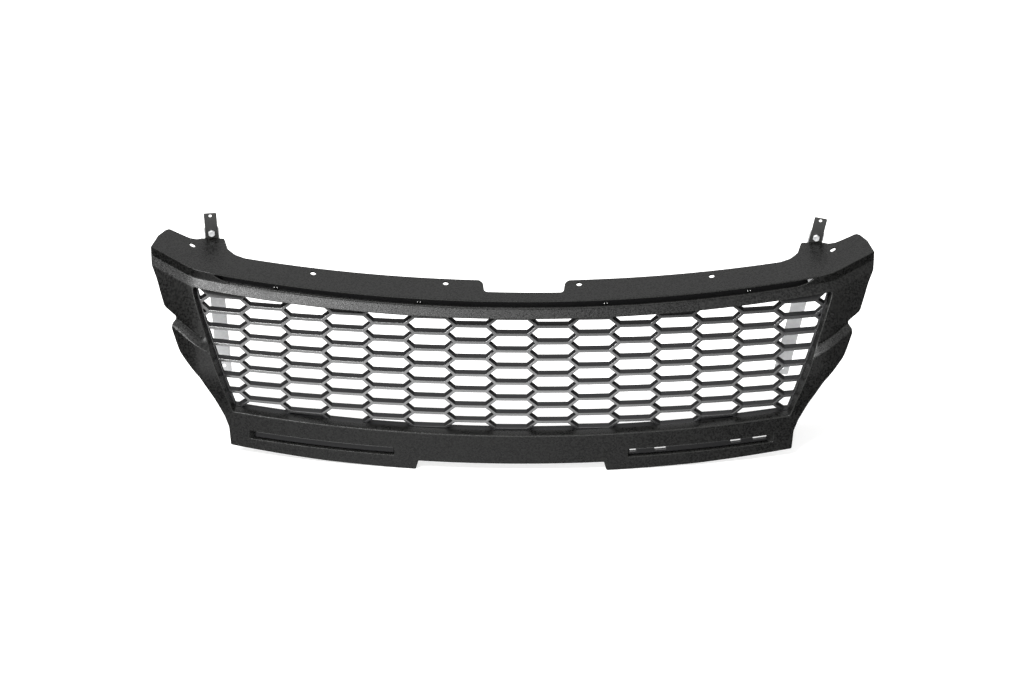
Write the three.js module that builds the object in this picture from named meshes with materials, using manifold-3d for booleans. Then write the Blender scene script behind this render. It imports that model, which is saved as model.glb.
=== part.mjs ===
// Front grille of a pickup truck: moulded surround, hexagonal mesh insert, blanking strips,
// two swivelling rear stays and their fasteners. Millimetres, +Z up, the front faces -Y.
import * as THREE from 'three';
import { mergeVertices } from 'three/addons/utils/BufferGeometryUtils.js';
import Module from 'manifold-3d';

const wasm = await Module();
wasm.setup();

// ---- driving dimensions ----
const wall = 3;                        // moulded wall thickness
const planRadius = 1900;               // sweep of the front in plan
const wingX = 512;                     // half width where the wings turn back
const wingSlope = 0.8;                 // backward run of a wing per unit of width
const deckSlope = 0.194;               // rise of the deck per unit of depth
const rollRadius = 320;                // roundness of the front in side view
const lipLow = 68;                     // height of the opening's lower edge at the centre
const lipHigh = 250.5;                 // height of the opening's upper edge at the centre
const openLowX = 447;                  // half width of the opening along its lower edge
const openHighX = 515;                 // half width of the opening along its upper edge
const lipTop = { y: 69.6, h: 263 };    // upper edge of the sloping lip
const deckH = 277;                     // height of the deck's front edge
const slot = { x0: -480, x1: 484, h0: 264.6, h1: 275 };     // air slot in the riser
const notch = { x0: -45, x1: 82, y: 93, corner: 7, flare: 5 };   // latch notch in the deck
const deckDepth = 51;
const deckHoles = [[107, 113], [320, 135], [515, 201]];
const deckHoleRadius = 4.6;
const tipX = 582;                      // half width over the deck's ears
const legX = 153;                      // half width of the recess in the lower edge
const recessH = 16;
const proud = 12;                      // how far the lower wing stands in front of the upper
const shelf = { x: 480, h: 165, slope: 0.33, rise: 10 };
const insert = {
  gap: 20, plate: 3, depth: 14, frame: 4, margin: 18,
  strip: { x0: -488, x1: 466, h: 271 },                     // flange behind the air slot
  inset: { low: 4, high: 5, edge: 1 },                     // open window inside the surround's opening
};
const cell = { pitch: 66, row: 26.4, tip: 41, bar: 4.2, firstArc: 14, droop: 4 / 396 ** 2 };
const blank = {
  x0: 188, x1: 412, h0: 23.5, h1: 37.5, face: 4.6, back: 8.4, plate: 2, rim: 5, ear: 22, top: 2.4,
  windows: [[190, 200], [230, 248], [352, 368], [388, 410]], windowH: 31,
};
const screw = { shank: 2, hole: 2.5, boss: 4.6, head: 4.2, headH: 2.6, length: 14, blankLength: 8 };
const stay = { x: 482, z: 285, y: 220.3, width: 24, thick: 2, up: 40, down: 231 };
const stayLean = { left: -4.5, right: 12 };       // rest angles about +Y, degrees
const tab = { width: 20.5, z0: 11, z1: 66, y: 218, thick: 2, hole: 2.6, holeZ: 61, boltZ: 30 };
const bolt = { shank: 3, flats: 5, headH: 4, nutH: 5, hole: 3.4, pivotLength: 18, tabLength: 13 };
const lug = { y0: 214, y1: 217.6, z0: 268 };
const originY = 81;                    // the origin lies on the deck, this far behind the lower lip
const beyondX = 600;                   // past either end, for surfaces that are trimmed later
const through = [-60, 400];            // depths that a cut runs between, clear of everything

// ---- the shape of the front ----
const arcSag = (x, r) => r - Math.sqrt(r * r - x * x);

// Distance that the front has swept back at x.
function sweep(x) {
  const a = Math.abs(x);
  return a <= wingX ? arcSag(a, planRadius) : arcSag(wingX, planRadius) + wingSlope * (a - wingX);
}

// The moulding's edges rise towards the sides as they sweep back.
const lift = x => deckSlope * sweep(x);

// Backward lean of the front at height h above the lower edge's level.
const roll = h => arcSag(Math.max(0, h - lipLow), rollRadius);

// The lower wing stands forward up to a sloping shelf, whose lower edge runs at this height.
const shelfH = x => shelf.h + shelf.slope * (Math.max(Math.abs(x), openLowX) - shelf.x);

// Half width of the opening at height h.
const sideX = h => openLowX + (openHighX - openLowX) * (h - lipLow) / (lipHigh - lipLow);

// ---- solids ----
function toSolid(geometry) {
  const bare = new THREE.BufferGeometry();
  bare.setAttribute('position', geometry.attributes.position);
  if (geometry.index) bare.setIndex(geometry.index);
  const merged = mergeVertices(bare, 1e-4);
  return new wasm.Manifold(new wasm.Mesh({
    numProp: 3,
    vertProperties: new Float32Array(merged.attributes.position.array),
    triVerts: new Uint32Array(merged.index.array),
  }));
}

function toGeometry(solid) {
  const mesh = solid.getMesh();
  const geometry = new THREE.BufferGeometry();
  geometry.setAttribute('position', new THREE.BufferAttribute(mesh.vertProperties, 3));
  geometry.setIndex(new THREE.BufferAttribute(mesh.triVerts, 1));
  return geometry;
}

const unite = solids => solids.reduce((sum, next) => sum.add(next));

// Prism that runs along Y, drawn as [x, z] points; holes are further lists of points.
function prismY(points, y0, y1, holes = []) {
  const shape = new THREE.Shape(points.map(([x, z]) => new THREE.Vector2(x, z)));
  shape.holes = holes.map(h => new THREE.Path(h.map(([x, z]) => new THREE.Vector2(x, z))));
  const geometry = new THREE.ExtrudeGeometry(shape, { depth: y1 - y0, bevelEnabled: false });
  geometry.rotateX(Math.PI / 2).translate(0, y1, 0);
  return toSolid(geometry);
}

// Prism that runs along Z, drawn as [x, y] points.
function prismZ(points, z0, z1, holes = []) {
  const shape = new THREE.Shape(points.map(([x, y]) => new THREE.Vector2(x, y)));
  shape.holes = holes.map(h => new THREE.Path(h.map(([x, y]) => new THREE.Vector2(x, y))));
  const geometry = new THREE.ExtrudeGeometry(shape, { depth: z1 - z0, bevelEnabled: false });
  geometry.translate(0, 0, z0);
  return toSolid(geometry);
}

// Closed sheet over a grid of u and v values, between two surfaces given as functions.
function sheet(us, vs, front, back) {
  const positions = [];
  const index = [];
  const nu = us.length;
  const nv = vs.length;
  for (const surface of [front, back]) {
    for (const u of us) for (const v of vs) positions.push(...surface(u, v));
  }
  const at = (side, i, j) => side * nu * nv + i * nv + j;
  const quad = (a, b, c, d) => index.push(a, b, c, a, c, d);
  for (let i = 0; i + 1 < nu; i++) {
    for (let j = 0; j + 1 < nv; j++) {
      quad(at(0, i, j), at(0, i + 1, j), at(0, i + 1, j + 1), at(0, i, j + 1));
      quad(at(1, i, j), at(1, i, j + 1), at(1, i + 1, j + 1), at(1, i + 1, j));
    }
    quad(at(0, i, 0), at(1, i, 0), at(1, i + 1, 0), at(0, i + 1, 0));
    quad(at(0, i, nv - 1), at(0, i + 1, nv - 1), at(1, i + 1, nv - 1), at(1, i, nv - 1));
  }
  for (let j = 0; j + 1 < nv; j++) {
    quad(at(0, 0, j), at(0, 0, j + 1), at(1, 0, j + 1), at(1, 0, j));
    quad(at(0, nu - 1, j), at(1, nu - 1, j), at(1, nu - 1, j + 1), at(0, nu - 1, j + 1));
  }
  const geometry = new THREE.BufferGeometry();
  geometry.setAttribute('position', new THREE.Float32BufferAttribute(positions, 3));
  geometry.setIndex(index);
  return toSolid(geometry);
}

const spread = (a, b, n) => Array.from({ length: n + 1 }, (_, i) => a + (b - a) * i / n);
const stations = spread(-wingX, wingX, 16);
const wideStations = [-beyondX, ...stations, beyondX];

// Heights and forward reach of the lines that run across the front, from its lower edge up.
const faceLines = [
  { h: () => -20, reach: 0 }, { h: () => lipLow, reach: 0 }, { h: () => 112, reach: 0.45 * proud },
  { h: () => 146, reach: proud }, { h: shelfH, reach: proud },
  { h: x => shelfH(x) + shelf.rise, reach: 0 }, { h: () => 235, reach: 0 }, { h: () => 262, reach: 0 },
  { h: () => 290, reach: 0 },
];
const faceRows = faceLines.map((line, i) => i);
const insertRows = [20, lipLow, 125, 180, 235, 290];

// Point of the front on line i at x, set back by depth.
function facePoint(x, i, depth) {
  const h = faceLines[i].h(x);
  return [x, sweep(x) + roll(h) - faceLines[i].reach + depth, h + lift(x)];
}

// Point of the surface that the mesh insert follows, set back by depth.
const insertPoint = (x, h, depth) => [x, sweep(x) + roll(h) + depth, h + lift(x)];

const lifted = ([x, h]) => [x, h + lift(x)];
const mirrored = ([x, h]) => [-x, h];
const closeMirrored = half => [...half, ...half.map(mirrored).reverse()];
const between = (a, b) => [a, ...stations.filter(x => x > a + 4 && x < b - 4), b];
const alongH = (x0, x1, h) => between(x0, x1).map(x => [x, h]);
const band = (x0, x1, h0, h1) => [...alongH(x0, x1, h0), ...alongH(x0, x1, h1).reverse()].map(lifted);
const circle = (cx, cy, r, n = 10) => spread(0, 2 * Math.PI, n).slice(0, n)
  .map(a => [cx + r * Math.cos(a), cy + r * Math.sin(a)]);

// Outline of the surround's opening, grown outwards by e.
function opening(e) {
  const low = between(0, openLowX + e * 0.7).slice(1).map(x => [x, lipLow - e]);
  const high = between(0, openHighX + e * 1.3).slice(1).reverse().map(x => [x, lipHigh + e]);
  return closeMirrored([...low, ...high]).map(lifted);
}

// ---- fixing points of the insert ----
function insertBosses() {
  const spots = [];
  for (const x of [-380, -150, 150, 380]) {
    spots.push({ x, h: 57.5, front: 1.5 }, { x, h: 260.5, front: 5.8 });
  }
  for (const side of [-1, 1]) {
    for (const [h, front] of [[100, -2.5], [218, 1.5]]) {
      spots.push({ x: side * (sideX(h) + wall + screw.boss + 1), h, front });
    }
  }
  return spots.map(({ x, h, front }) => ({
    x, z: h + lift(x), y0: sweep(x) + roll(h) + front,
    y1: sweep(Math.abs(x) - screw.boss) + roll(h - screw.boss) + insert.gap - 0.3,
    seat: sweep(Math.abs(x) + screw.head) + roll(h + screw.head) + insert.gap + insert.plate + 2.5,
  }));
}

// ---- fixing points of the blanking strips ----
function blankBosses(side) {
  return [blank.x0 - 12, blank.x1 + 12].map(x => ({
    x: side * x, z: (blank.h0 + blank.h1) / 2 + lift(x), y0: sweep(x) + 1.5,
    y1: sweep(x - screw.boss) + blank.back - 0.3,
    seat: sweep(x + screw.head) + blank.back + blank.plate,
  }));
}

// ---- surround ----
const faceOutline = () => closeMirrored([
  [legX - 4, recessH], [legX, 0.5], [300, 1.5], [451, 6], [454, 38], [461, 57], [477, 86],
  [501, 122], [534, 153], [547, 182], [546, 188], [540, 194], [541, 198], [551, 200.5],
  [559, 203], [567, 223], [572, 236], [581, lipHigh + 0.5],
  ...alongH(0, 581, lipHigh + 0.5).slice(1, -1).reverse(),
]).map(lifted);

const deckZ = y => deckH + deckSlope * (y - lipTop.y);

function deckOutline() {
  const deckRear = x => [x, lipTop.y + deckDepth + sweep(x)];
  const ear = [
    [tipX, 197], [571, 223], [559, 237], [553, 240], [535, 228], [519, 218], [508, 215.5],
    [500, 217.6], [464, 217.6], [458, 192], [446, 178],
  ];
  const rear = [430, ...stations.filter(x => x > 100 && x < 420).reverse()].map(deckRear);
  const half = side => [...ear, ...rear].map(([x, y]) => [side * x, y]);
  const corner = (x, way) => [
    [x + way * (notch.flare + 3), lipTop.y + deckDepth], [x + way * notch.flare, lipTop.y + deckDepth - 2],
    [x, notch.y + notch.corner], [x - way * 0.3 * notch.corner, notch.y + 0.3 * notch.corner],
    [x - way * notch.corner, notch.y],
  ];
  const front = [-tipX, ...stations, tipX].map(x => [x, sweep(x) + lipTop.y]);
  return [...front, ...half(1), ...corner(notch.x1, 1), ...corner(notch.x0, -1).reverse(), ...half(-1).reverse()];
}

function surroundSolid() {
  const hole = prismY(opening(0), ...through);
  const face = sheet(wideStations, faceRows, (x, i) => facePoint(x, i, 0), (x, i) => facePoint(x, i, wall));
  const returns = sheet(wideStations, faceRows, (x, i) => facePoint(x, i, 0.7 * wall),
    (x, i) => insertPoint(x, faceLines[i].h(x), insert.gap - 1.2));
  const shell = face.intersect(prismY(faceOutline(), ...through))
    .add(returns.intersect(prismY(opening(wall), ...through))).subtract(hole);

  // sloping lip over the opening, then the riser with its air slot
  const tips = [-tipX, ...stations, tipX];
  const lipLine = [{ y: roll(lipHigh), h: lipHigh }, lipTop, { y: lipTop.y, h: deckH - 0.5 }];
  const lip = sheet(tips, [0, 1, 2],
    (x, i) => [x, sweep(x) + lipLine[i].y, lipLine[i].h + lift(x)],
    (x, i) => [x, sweep(x) + lipLine[i].y + wall, lipLine[i].h + lift(x)]);
  const slotPrism = prismY(band(slot.x0, slot.x1, slot.h0, slot.h1), ...through);

  // deck, a flat plate that slopes up to the rear
  const holes = deckHoles.flatMap(([x, y]) => [x, -x].map(cx => circle(cx, y, deckHoleRadius)));
  const slope = sheet([-620, 620], [50, 250], (x, y) => [x, y, deckZ(y)], (x, y) => [x, y, deckZ(y) - wall]);
  const deck = prismZ(deckOutline(), 200, 400, holes).intersect(slope);

  const lugTop = deckZ(lug.y0) - 1;
  const lugs = [-1, 1].map(side => prismY(
    [[stay.x - 18, lugTop], [stay.x - 16, lug.z0], [stay.x + 16, lug.z0], [stay.x + 18, lugTop]]
      .map(([x, z]) => [side * x, z]), lug.y0, lug.y1, [circle(side * stay.x, stay.z, bolt.hole)]));
  const bosses = [...insertBosses(), ...blankBosses(-1), ...blankBosses(1)];
  const posts = bosses.map(b => prismY(circle(b.x, b.z, screw.boss, 8), b.y0, b.y1));
  const bores = bosses.map(b => prismY(circle(b.x, b.z, screw.hole, 8),
    Math.max(b.seat - screw.length - 1, b.y0 + 1), b.y1 + 5));
  const blankHoles = [-1, 1].map(side => prismY(
    band(blank.x0, blank.x1, blank.h0, blank.h1).map(([x, z]) => [side * x, z]), ...through));
  return unite([shell, lip.subtract(slotPrism), deck, ...lugs, ...posts])
    .subtract(unite([...bores, ...blankHoles]));
}

// ---- hexagonal mesh insert ----
// Height of the pattern's half row k, counted down from the top row, at x.
function rowZ(k, x) {
  const arc = cell.firstArc + (12 - k) * cell.row / 2;
  return lipLow + rollRadius * Math.sin(arc / rollRadius) - cell.droop * x * x;
}

// One cell's hole, centred on column c and half row k.
function cellHole(c, k) {
  const x = c * cell.pitch;
  const flat = cell.pitch - cell.tip;
  const [top, mid, low] = [rowZ(k - 1, x), rowZ(k, x), rowZ(k + 1, x)];
  const half = cell.bar / 2;
  const corner = (z) => {
    const q = Math.abs(z - mid);
    const run = (cell.tip - flat) / q;
    const tipX = cell.tip - half * Math.hypot(cell.tip - flat, q) / q;
    return { tipX, cornerX: tipX - run * (q - half) };
  };
  const up = corner(top);
  const down = corner(low);
  return [
    [x - up.tipX, mid], [x - down.cornerX, low + half], [x + down.cornerX, low + half],
    [x + up.tipX, mid], [x + up.cornerX, top - half], [x - up.cornerX, top - half],
  ];
}

function insertSolid() {
  const xs = [-beyondX, ...stations.filter((x, i) => i % 2 === 0), beyondX];
  const slab = (d0, d1) => sheet(xs, insertRows, (x, h) => insertPoint(x, h, d0), (x, h) => insertPoint(x, h, d1));
  const window = e => closeMirrored([
    ...alongH(0, openLowX - insert.inset.low + e, lipLow - insert.inset.edge - e).slice(1),
    ...alongH(0, openHighX - insert.inset.high + e, lipHigh + insert.inset.edge + e).slice(1).reverse(),
  ]).map(lifted);
  const cells = [];
  for (let c = -7; c <= 7; c++) {
    const first = c % 2 === 0 ? -2 : -1;
    for (let k = first; k <= 14; k += 2) cells.push(prismY(cellHole(c, k), ...through));
  }
  const cut = wasm.Manifold.union(cells).intersect(prismY(window(0), ...through));
  const flange = prismY(opening(insert.margin), ...through)
    .add(prismY(band(insert.strip.x0, insert.strip.x1, lipHigh, insert.strip.h), ...through));
  const screwHoles = insertBosses().map(b => prismY(circle(b.x, b.z, screw.hole + 0.3, 6), ...through));
  return slab(insert.gap, insert.gap + insert.plate).intersect(flange)
    .add(slab(insert.gap, insert.gap + insert.depth).intersect(prismY(window(insert.frame), ...through)))
    .subtract(cut).subtract(unite(screwHoles));
}

// ---- blanking strips ----
function blankSolid(side) {
  const flip = points => points.map(([x, z]) => [side * x, z]);
  const layer = (d0, d1, points) => sheet(wideStations, [-20, 100],
    (x, h) => [x, sweep(x) + d0, h + lift(x)], (x, h) => [x, sweep(x) + d1, h + lift(x)])
    .intersect(prismY(flip(points), ...through));
  const bar = layer(blank.face, blank.back + 1, band(blank.x0 + 1, blank.x1 - 1, blank.h0 + 1, blank.h1 - blank.top));
  const plate = layer(blank.back, blank.back + blank.plate,
    band(blank.x0 - blank.ear, blank.x1 + blank.ear, blank.h0 - blank.rim, blank.h1 + blank.rim));
  const holes = blankBosses(side).map(b => prismY(circle(b.x, b.z, screw.hole + 0.3, 8), ...through));
  const windows = side > 0 ? blank.windows.map(([x0, x1]) => prismY(
    band(x0, x1, blank.windowH, blank.h1 + 1), ...through)) : [];
  return bar.add(plate).subtract(unite([...holes, ...windows]));
}

// ---- fasteners, all along Y ----
// Screw whose head's underside is at y, with its shank towards -Y.
function screwSolid(length) {
  const profile = [
    [0, 0], [screw.head, 0], [screw.head, 0.6 * screw.headH], [0.6 * screw.head, screw.headH], [0, screw.headH],
  ].map(([r, y]) => new THREE.Vector2(r, y));
  const head = toSolid(new THREE.LatheGeometry(profile, 8));
  const shank = toSolid(new THREE.CylinderGeometry(screw.shank, screw.shank * 0.8, length, 6)
    .translate(0, 0.3 - length / 2, 0));
  return head.add(shank);
}

// Hexagon-headed bolt: head's underside at y = 0, head towards +Y, shank of given length towards -Y.
function boltSolid(length) {
  const head = toSolid(new THREE.CylinderGeometry(1, 1, bolt.headH, 6)
    .scale(bolt.flats * 1.1547, 1, bolt.flats * 1.1547).translate(0, bolt.headH / 2, 0));
  const shank = toSolid(new THREE.CylinderGeometry(bolt.shank, bolt.shank, length, 8)
    .translate(0, 0.5 - length / 2, 0));
  return head.add(shank);
}

function nutSolid() {
  const body = toSolid(new THREE.CylinderGeometry(1, 1, bolt.nutH, 6).scale(bolt.flats * 1.1547, 1, bolt.flats * 1.1547));
  return body.subtract(toSolid(new THREE.CylinderGeometry(bolt.hole, bolt.hole, 20, 8)));
}

const washerSolid = () => toSolid(new THREE.CylinderGeometry(7, 7, 1.6, 12))
  .subtract(toSolid(new THREE.CylinderGeometry(bolt.hole, bolt.hole, 20, 8)));

// ---- stays, drawn upright about their pivot ----
function roundedStrip(width, z0, z1, r = 4) {
  const half = width / 2;
  const corner = (cx, cz, from) => spread(from, from + Math.PI / 2, 3)
    .map(a => [cx + r * Math.cos(a), cz + r * Math.sin(a)]);
  return [
    ...corner(half - r, z1 - r, 0), ...corner(r - half, z1 - r, Math.PI / 2),
    ...corner(r - half, z0 + r, Math.PI), ...corner(half - r, z0 + r, 1.5 * Math.PI),
  ];
}

const strapSolid = () => prismY(roundedStrip(stay.width, -stay.down, stay.up), 0, stay.thick,
  [circle(0, 0, bolt.hole, 12), circle(0, tab.boltZ, bolt.hole, 12), circle(0, 12 - stay.down, 3.6, 12)]);

const tabSolid = () => prismY(roundedStrip(tab.width, tab.z0, tab.z1, 2), 0, tab.thick,
  [circle(0, tab.boltZ, bolt.hole, 12), circle(0, tab.holeZ, tab.hole, 12)]);

// ---- assembly ----
const finishes = {
  grained: { color: 0x2b2c2d, roughness: 0.55, metalness: 0 },
  satin: { color: 0x242526, roughness: 0.4, metalness: 0 },
  zinc: { color: 0xb9bcbe, roughness: 0.35, metalness: 1 },
  coated: { color: 0x1b1b1c, roughness: 0.45, metalness: 0.2 },
};

const grille = new THREE.Group();
const toOrigin = new THREE.Vector3(0, -originY, -deckZ(originY));

function place(name, solid, finish, position = [0, 0, 0], parent = grille) {
  const mesh = new THREE.Mesh(toGeometry(solid), new THREE.MeshStandardMaterial(finishes[finish]));
  mesh.name = name;
  mesh.position.set(...position);
  if (parent === grille) mesh.position.add(toOrigin);
  parent.add(mesh);
}

place('surround', surroundSolid(), 'grained');
place('mesh_insert', insertSolid(), 'satin');

insertBosses().forEach((b, i) => {
  place(`insert_screw_${i + 1}`, screwSolid(screw.length), 'coated', [b.x, b.seat + 0.3, b.z]);
});

for (const [name, side] of [['left', -1], ['right', 1]]) {
  place(`blank_${name}`, blankSolid(side), 'satin');
  blankBosses(side).forEach((b, i) => {
    const end = i === 0 ? 'inner' : 'outer';
    place(`blank_screw_${name}_${end}`, screwSolid(screw.blankLength), 'coated', [b.x, b.seat + 0.3, b.z]);
  });

  // pivot through the lug, fixed to the surround
  place(`pivot_bolt_${name}`, boltSolid(bolt.pivotLength), 'zinc', [side * stay.x, stay.y + stay.thick + 0.3, stay.z]);
  place(`pivot_washer_${name}`, washerSolid(), 'zinc', [side * stay.x, (lug.y1 + stay.y) / 2, stay.z]);
  place(`pivot_nut_${name}`, nutSolid(), 'zinc', [side * stay.x, lug.y0 - 0.3 - bolt.nutH / 2, stay.z]);

  // swinging stay: strap, tab and the bolt that joins them
  const swing = new THREE.Group();
  swing.position.set(side * stay.x, 0, stay.z).add(toOrigin);
  swing.rotation.y = THREE.MathUtils.degToRad(stayLean[name]);
  grille.add(swing);
  place(`stay_strap_${name}`, strapSolid(), 'zinc', [0, stay.y, 0], swing);
  place(`stay_tab_${name}`, tabSolid(), 'coated', [0, tab.y, 0], swing);
  const front = new THREE.Group();
  front.rotation.z = Math.PI;
  front.position.set(0, tab.y - 0.3, tab.boltZ);
  swing.add(front);
  place(`tab_bolt_${name}`, boltSolid(bolt.tabLength), 'zinc', [0, 0, 0], front);
  place(`tab_nut_${name}`, nutSolid(), 'zinc', [0, stay.y + stay.thick + 0.3 + bolt.nutH / 2, tab.boltZ], swing);
}

export default grille;
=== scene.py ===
import math
import bmesh
import bpy
import numpy as np
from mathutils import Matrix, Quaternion, Vector, geometry


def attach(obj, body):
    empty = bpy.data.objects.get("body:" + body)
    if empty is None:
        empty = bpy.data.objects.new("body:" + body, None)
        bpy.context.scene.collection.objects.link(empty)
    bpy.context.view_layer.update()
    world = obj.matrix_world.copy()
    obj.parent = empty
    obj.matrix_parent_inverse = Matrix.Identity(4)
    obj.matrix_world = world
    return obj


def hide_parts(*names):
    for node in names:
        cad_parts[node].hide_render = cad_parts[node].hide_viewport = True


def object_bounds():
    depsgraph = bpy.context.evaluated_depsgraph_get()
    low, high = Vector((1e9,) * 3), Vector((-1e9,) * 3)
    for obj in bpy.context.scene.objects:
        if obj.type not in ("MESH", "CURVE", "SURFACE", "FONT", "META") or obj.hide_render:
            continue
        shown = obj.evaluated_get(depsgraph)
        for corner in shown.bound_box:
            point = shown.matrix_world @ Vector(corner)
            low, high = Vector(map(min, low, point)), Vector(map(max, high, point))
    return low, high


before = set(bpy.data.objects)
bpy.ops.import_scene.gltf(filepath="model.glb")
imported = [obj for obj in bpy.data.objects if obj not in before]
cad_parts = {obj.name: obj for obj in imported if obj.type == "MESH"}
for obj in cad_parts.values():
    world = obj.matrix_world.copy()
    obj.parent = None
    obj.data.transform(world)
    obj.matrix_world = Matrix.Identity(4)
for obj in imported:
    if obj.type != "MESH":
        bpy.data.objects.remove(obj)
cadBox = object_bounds()
print("frame loaded")

# Lengths are in millimetres until a shell is finished, where they become metres in the frame's own axes.
front = dict(planRadius=1900, wingX=512, wingSlope=0.8, bend=6, rise=0.194, rollRadius=320,
             lipLow=68, lipHigh=250.5, openLowX=447, openHighX=515, originY=81)
beam = dict(lipTop=(69.6, 263), deckH=277, deckDepth=51, lineFrom=-12, linePast=110, lineStep=0.25,
            soften=9, runOn=120)
wing = dict(proud=12, riseFrom=64, riseRun=84, shelfX=480, shelfH=165, shelfSlope=0.33, shelfRise=10,
            groove=2.2, grooveUp=1, grooveWidth=1.2, fadeFrom=3, fadeRun=10)


def sag(x, r):
    # how far an arc of radius r has fallen away at x: r less the root of r squared less x squared
    return r - np.sqrt(r * r - x * x)


def softStep(t):
    # 0 below 0, 1 above 1, and 3 t squared less 2 t cubed between
    t = np.clip(t, 0, 1)
    return t * t * (3 - 2 * t)


def sweepAt(x):
    # an arc of the plan radius to the wing's bend, then a straight run; the extra slope comes in
    # as bend times the log of 1 + e to the (distance past the bend over bend), a rounded hinge
    a, edge = np.abs(x), front["wingX"]
    tangent = edge / math.sqrt(front["planRadius"] ** 2 - edge ** 2)
    past = a - edge
    hinge = front["bend"] * np.logaddexp(0, past / front["bend"])
    return (sag(np.minimum(a, edge), front["planRadius"]) + tangent * np.maximum(past, 0)
            + (front["wingSlope"] - tangent) * hinge)


def liftAt(x):
    # the edges rise with the sweep, at the deck's own slope: rise times sweep
    return front["rise"] * sweepAt(x)


def rollAt(h):
    # an arc of the roll radius that starts to lean back at the opening's lower edge
    return sag(np.maximum(np.asarray(h, float) - front["lipLow"], 0), front["rollRadius"])


def shelfAt(x):
    # height of the shelf's lower edge, rising outwards in a straight line
    return wing["shelfH"] + wing["shelfSlope"] * (np.maximum(np.abs(x), front["openLowX"]) - wing["shelfX"])


# Side view of the moulding as one line over s, which is height on the front and run length beyond it:
# the rolled front, the sloping lip, the upright riser and the deck.
lipY = float(rollAt(front["lipHigh"]))
lipRun = math.hypot(beam["lipTop"][0] - lipY, beam["lipTop"][1] - front["lipHigh"])
riserS = front["lipHigh"] + lipRun
deckS = riserS + beam["deckH"] - beam["lipTop"][1]
deckRun = math.hypot(1, front["rise"])          # length along the deck per unit of depth


def sideLine():
    # y and z are the roll's arc up to the lip and straight between the corners above it; the way into the
    # wall is back in front and down under the deck; a running mean over the softening width eases them all
    s = np.arange(beam["lineFrom"], deckS + beam["linePast"], beam["lineStep"])
    (topY, topZ), high, deckH, on = beam["lipTop"], front["lipHigh"], beam["deckH"], beam["runOn"]
    knots = [high, riserS, deckS, deckS + on * deckRun]
    y = np.interp(s, knots, [lipY, topY, topY, topY + on])
    z = np.interp(s, knots, [high, topZ, deckH, deckH + on * front["rise"]])
    y = np.where(s < high, rollAt(np.minimum(s, high)), y)
    z = np.where(s < high, s, z)
    inY = np.where(s < deckS, 1.0, 0.0)
    window = np.ones(beam["soften"]) / beam["soften"]
    half = beam["soften"] // 2
    padded = [np.pad(v, half, "reflect", reflect_type="odd") for v in (y, z, inY, inY - 1)]
    return s, *[np.convolve(v, window, "valid") for v in padded]


sideS, sideY, sideZ, sideInY, sideInZ = sideLine()


def reachAt(x, s):
    # how far the lower wing stands forward: a soft rise with height, then a straight drop over the shelf,
    # less a narrow bell-shaped groove along the shelf's upper edge
    above = s - shelfAt(x)
    rise = wing["proud"] * softStep((s - wing["riseFrom"]) / wing["riseRun"])
    drop = 1 - np.clip(above / wing["shelfRise"], 0, 1)
    off = (above - wing["shelfRise"] - wing["grooveUp"]) / wing["grooveWidth"]
    return rise * drop - wing["groove"] * np.exp(-off ** 2)


def skin(x, s, depth):
    # point of the moulding at width x and side-line length s, set in by depth: the side line, plus sweep
    # and lift, less the wing's reach; the reach fades away inside the opening's walls, which end level
    # with the mesh behind them
    fade = 1 - softStep((depth - wing["fadeFrom"]) / wing["fadeRun"])
    y = sweepAt(x) + np.interp(s, sideS, sideY) + depth * np.interp(s, sideS, sideInY)
    y = y - reachAt(x, s) * fade
    z = liftAt(x) + np.interp(s, sideS, sideZ) + depth * np.interp(s, sideS, sideInZ)
    return np.stack([x, y, z], 1)


def facing(gap):
    # a surface that follows the front at a gap behind it, over width x and height h
    return lambda x, h, depth: np.stack([x, sweepAt(x) + rollAt(h) + gap + depth, h + liftAt(x)], 1)


def upright(x, z, depth):
    # a flat surface across the grille, with depth as its distance along Y
    return np.stack([x, np.full_like(x, depth), z], 1)


# Outlines are closed lists of points, drawn anticlockwise.
def filleted(corners, steps=4, most=0.46, least=0.02):
    # corners are (u, v, radius); each is cut back by the radius times the tangent of half its turn and
    # bridged by a parabola that is tangent to both sides; a cut takes at most a share of the shorter
    # side, and points closer than the least distance become one
    c = np.array(corners, float)
    p, r = c[:, :2], c[:, 2]
    ahead = np.roll(p, -1, 0) - p
    run = np.linalg.norm(ahead, axis=1)
    ahead /= run[:, None]
    behind = np.roll(ahead, 1, 0)
    turn = np.arccos(np.clip((ahead * behind).sum(1), -1, 1))
    cut = np.minimum(r * np.tan(turn / 2), most * np.minimum(run, np.roll(run, 1)))[:, None]
    t = np.linspace(0, 1, steps + 1)[None, :, None]
    a, b = (p - behind * cut)[:, None], (p + ahead * cut)[:, None]
    curve = (1 - t) ** 2 * a + 2 * t * (1 - t) * p[:, None] + t ** 2 * b
    loop = curve.reshape(-1, 2)
    apart = np.linalg.norm(loop - np.roll(loop, 1, 0), axis=1) > least
    return loop[apart]


def divided(loop, step):
    # each side is split evenly so that no part of it is longer than step
    ahead = np.roll(loop, -1, 0) - loop
    parts = np.maximum(1, np.ceil(np.linalg.norm(ahead, axis=1) / step).astype(int))
    side = np.repeat(np.arange(len(loop)), parts)
    share = (np.arange(len(side)) - np.repeat(np.cumsum(parts) - parts, parts)) / parts[side]
    return loop[side] + ahead[side] * share[:, None]


def outline(corners, step=6, steps=4):
    # rounded corners, then sides divided evenly
    return divided(filleted(corners, steps), step)


def circle(cx, cy, r, n=24):
    # centre plus r times the cosine and sine of n even turns
    a = np.linspace(0, 2 * np.pi, n, endpoint=False)
    return np.stack([cx + r * np.cos(a), cy + r * np.sin(a)], 1)


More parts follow.
